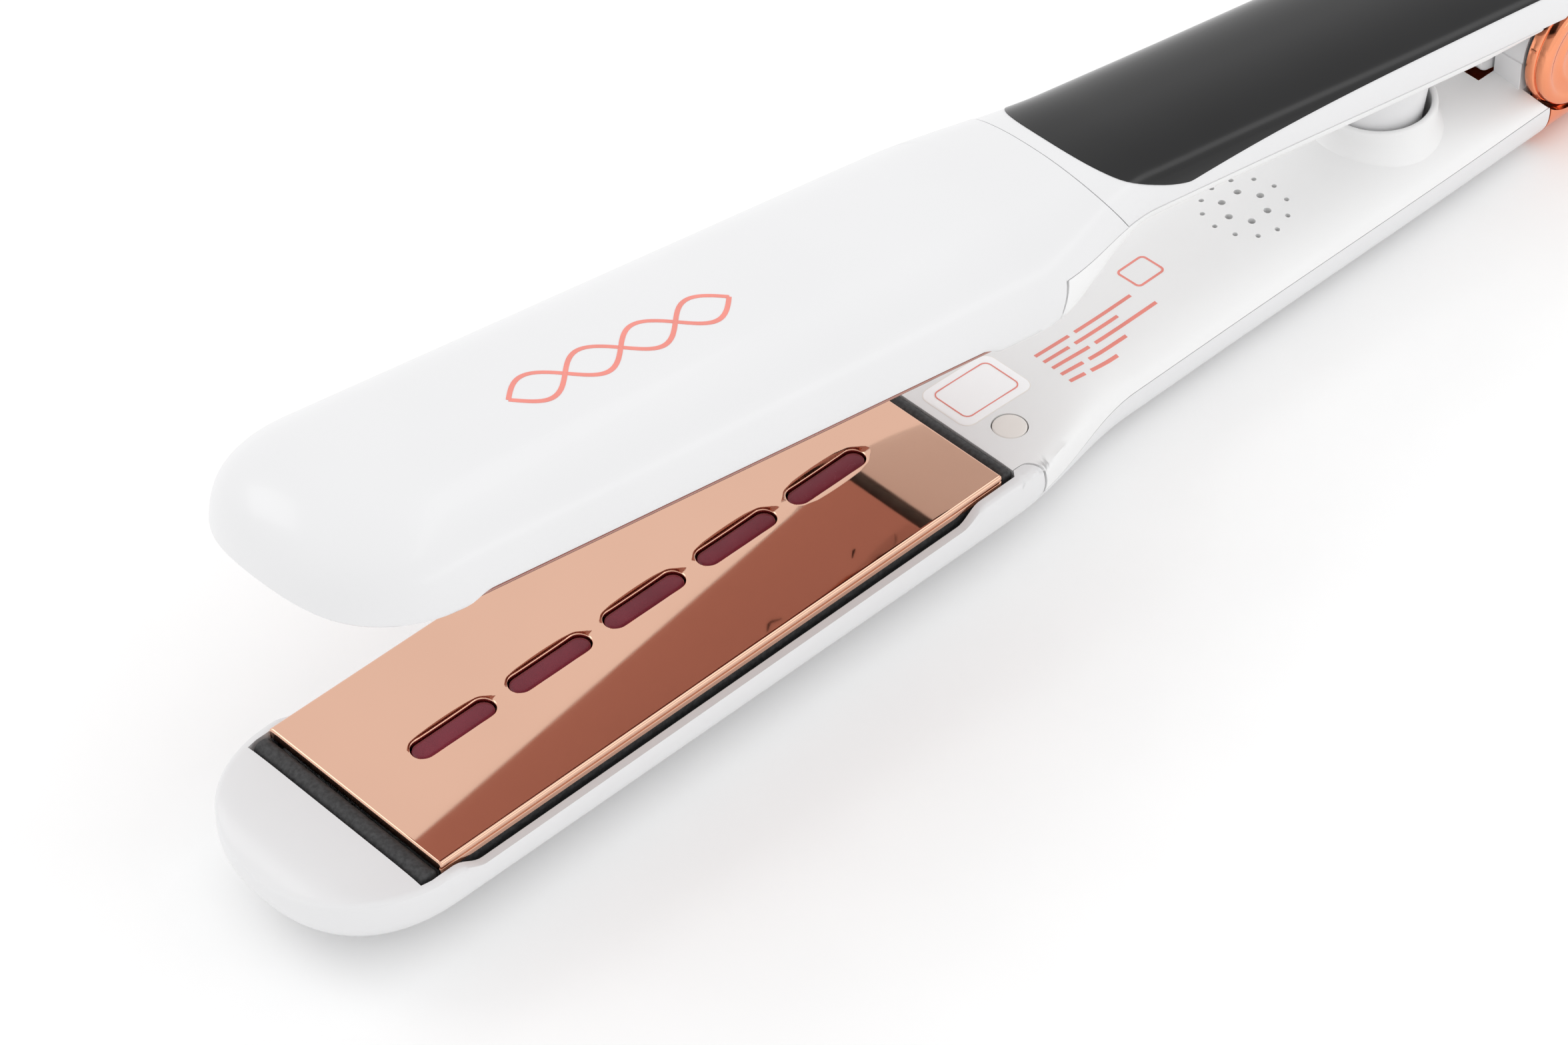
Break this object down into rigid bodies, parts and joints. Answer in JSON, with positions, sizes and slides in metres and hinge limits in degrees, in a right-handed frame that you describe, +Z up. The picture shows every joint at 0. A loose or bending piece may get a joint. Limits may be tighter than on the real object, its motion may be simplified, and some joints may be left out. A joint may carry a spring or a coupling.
{
  "type": "flat iron",
  "caption": "Hair straightening iron, open: two hinged arms with floating heated plates, slotted infrared lenses, a sprung hinge and a swivel cord outlet.",
  "frame": {"origin": "middle of the footprint of the open iron, on the surface that it lies on", "axes": "+X from the tip to the cord outlet, +Y across the plates, +Z up from the lower arm to the upper arm"},
  "size_m": [0.3042, 0.0426, 0.0813],
  "materials": {
    "white_plastic": "satin-gloss injection moulded white",
    "warm_grey_plastic": "fine matte",
    "rose_gold_plating": "polished rose-gold plating",
    "copper_plate": "polished rose-gold plate coating",
    "lens_red": "dark red, satin",
    "black_gloss": "deep black gloss",
    "black_rubber": "matte silicone rubber",
    "steel": "bright",
    "ceramic": "fired ceramic",
    "heat_plastic": "glass filled, matte",
    "silicone": "soft silicone",
    "board_green": "solder mask",
    "paper": "coated label stock",
    "wire_sleeve": "glass braid sleeve",
    "bronze": "sintered bearing bronze"
  },
  "bodies": {
    "lower_arm": {"lower_outer_shell": "white_plastic", "lower_inner_cover": "white_plastic", "lower_end_cap": "rose_gold_plating", "lower_front_gasket": "black_rubber", "lower_rear_gasket": "black_rubber", "lower_cover_disc": "warm_grey_plastic", "lower_cover_screw": "steel", "lower_float_cushion_front": "silicone", "lower_float_cushion_rear": "silicone", "blank_label": "paper", "hinge_pin": "steel", "hinge_cap_left": "rose_gold_plating", "hinge_cap_right": "rose_gold_plating", "hinge_washer_left": "black_rubber", "hinge_washer_right": "black_rubber", "return_spring": "steel", "lower_heater_lead_left": "wire_sleeve", "lower_heater_lead_right": "wire_sleeve", "power_lead_live": "black_rubber", "power_lead_neutral": "wire_sleeve"},
    "lower_plate_float": {"lower_plate": "copper_plate", "lower_infrared_lens": "lens_red", "lower_heater_left": "ceramic", "lower_heater_right": "ceramic", "lower_plate_carrier": "heat_plastic", "lower_thermistor": "ceramic"},
    "upper_arm": {"upper_barrel_shell": "white_plastic", "upper_handle_shell": "white_plastic", "upper_inner_cover": "white_plastic", "display_panel": "black_gloss", "display_module": "black_rubber", "control_board": "board_green", "upper_front_gasket": "black_rubber", "upper_rear_gasket": "black_rubber", "upper_cover_disc": "warm_grey_plastic", "upper_cover_screw": "steel", "upper_float_cushion_front": "silicone", "upper_float_cushion_rear": "silicone", "upper_heater_lead_left": "wire_sleeve", "upper_heater_lead_right": "wire_sleeve", "thermal_fuse": "steel", "knuckle_bush": "bronze"},
    "upper_plate_float": {"upper_plate": "copper_plate", "upper_infrared_lens": "lens_red", "upper_heater_left": "ceramic", "upper_heater_right": "ceramic", "upper_plate_carrier": "heat_plastic", "upper_thermistor": "ceramic"},
    "power_key": {"power_button": "white_plastic"},
    "minus_key": {"minus_button": "white_plastic"},
    "plus_key": {"plus_button": "white_plastic"},
    "cord_swivel": {"cord_swivel": "white_plastic"}
  },
  "joints": [
    {"name": "arm_hinge", "type": "hinge", "parent": "lower_arm", "child": "upper_arm", "pos_m": [0.12568, 0, 0.0183], "axis": [0, -1, 0], "range_deg": [0, 10.34], "stiffness_Nm_per_rad": 0.6, "springref_deg": -20.05, "deforming": ["return_spring"]},
    {"name": "lower_plate_press", "type": "slide", "parent": "lower_arm", "child": "lower_plate_float", "axis": [0, 0, -1], "range_m": [0, 0.0008], "stiffness_N_per_m": 3000, "springref_m": -0.001, "deforming": ["lower_float_cushion_front", "lower_float_cushion_rear"]},
    {"name": "upper_plate_press", "type": "slide", "parent": "upper_arm", "child": "upper_plate_float", "axis": [0.1805, 0, 0.9836], "range_m": [0, 0.0008], "stiffness_N_per_m": 3000, "springref_m": -0.001, "deforming": ["upper_float_cushion_front", "upper_float_cushion_rear"]},
    {"name": "power_press", "type": "slide", "parent": "upper_arm", "child": "power_key", "axis": [0.1805, 0, 0.9836], "range_m": [0, 0.0008], "stiffness_N_per_m": 500, "springref_m": -0.001},
    {"name": "minus_press", "type": "slide", "parent": "upper_arm", "child": "minus_key", "axis": [0.1805, 0, 0.9836], "range_m": [0, 0.0008], "stiffness_N_per_m": 500, "springref_m": -0.001},
    {"name": "plus_press", "type": "slide", "parent": "upper_arm", "child": "plus_key", "axis": [0.1805, 0, 0.9836], "range_m": [0, 0.0008], "stiffness_N_per_m": 500, "springref_m": -0.001},
    {"name": "cord_swivel_turn", "type": "hinge", "parent": "lower_arm", "child": "cord_swivel", "pos_m": [0.14608, 0, 0.0079], "axis": [1, 0, 0], "continuous": true}
  ]
}
